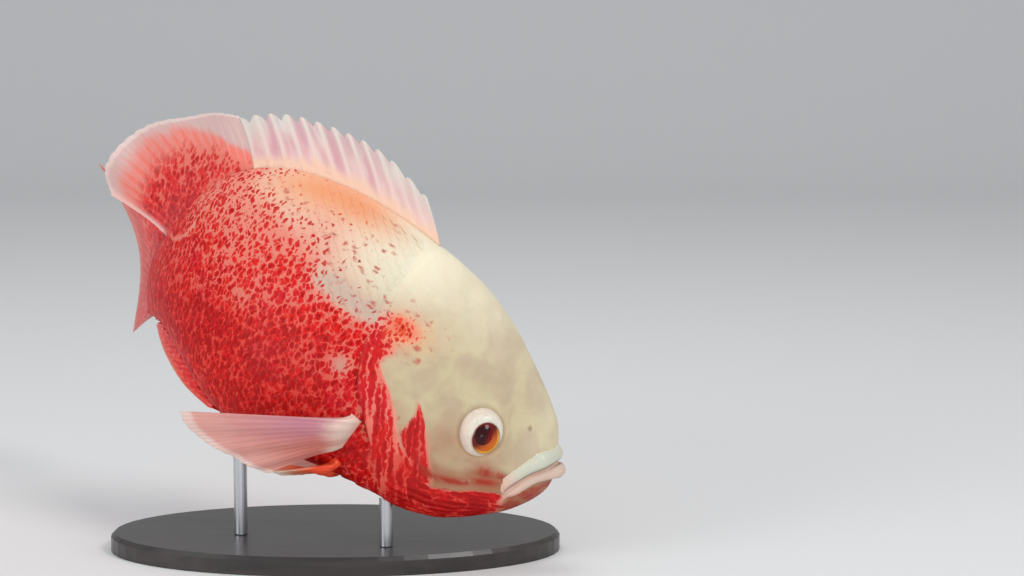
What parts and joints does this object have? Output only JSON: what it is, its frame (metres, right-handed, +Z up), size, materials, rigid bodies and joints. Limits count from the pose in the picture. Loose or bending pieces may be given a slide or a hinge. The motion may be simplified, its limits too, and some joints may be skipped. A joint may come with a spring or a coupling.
{
  "type": "albino oscar fish",
  "caption": "Still life-size albino oscar fish, nosing down with its tail swept to one side, ivory head and red marbled body, on a flat oval base with short rods.",
  "frame": {"origin": "centre of the underside of the oval base", "axes": "+Z up, +X towards the snout, -Y towards the side that the right flank faces"},
  "size_m": [0.1899, 0.1674, 0.1618],
  "materials": {
    "skin_ivory": "cast and painted skin, ivory to greenish cream, moist satin",
    "skin_red": "cast and painted scaled skin, red marbling on pale pink, moist satin",
    "lip": "cast and painted lips, pale greenish white, moist satin",
    "fin": "thin cast fins, red at the root and pale pink at the margin",
    "eye": "white bulging ring, orange iris and dark red pupil, clear gloss",
    "stand_board": "dense board, satin black lacquer",
    "stand_steel": "brushed steel rod"
  },
  "bodies": {
    "root": {"head": "skin_ivory", "upper_lip": "lip", "lower_lip": "lip", "gill_cover_right": "skin_ivory", "gill_cover_left": "skin_ivory", "torso": "skin_red", "tail": "skin_red", "dorsal_fin_spiny": "fin", "dorsal_fin_soft": "fin", "anal_fin": "fin", "caudal_fin": "fin", "pectoral_fin_right": "fin", "pectoral_fin_left": "fin", "pelvic_fin_right": "fin", "pelvic_fin_left": "fin", "eye_right": "eye", "eye_left": "eye", "stand_base": "stand_board", "stand_rod_front": "stand_steel", "stand_rod_rear": "stand_steel"}
  },
  "joints": []
}
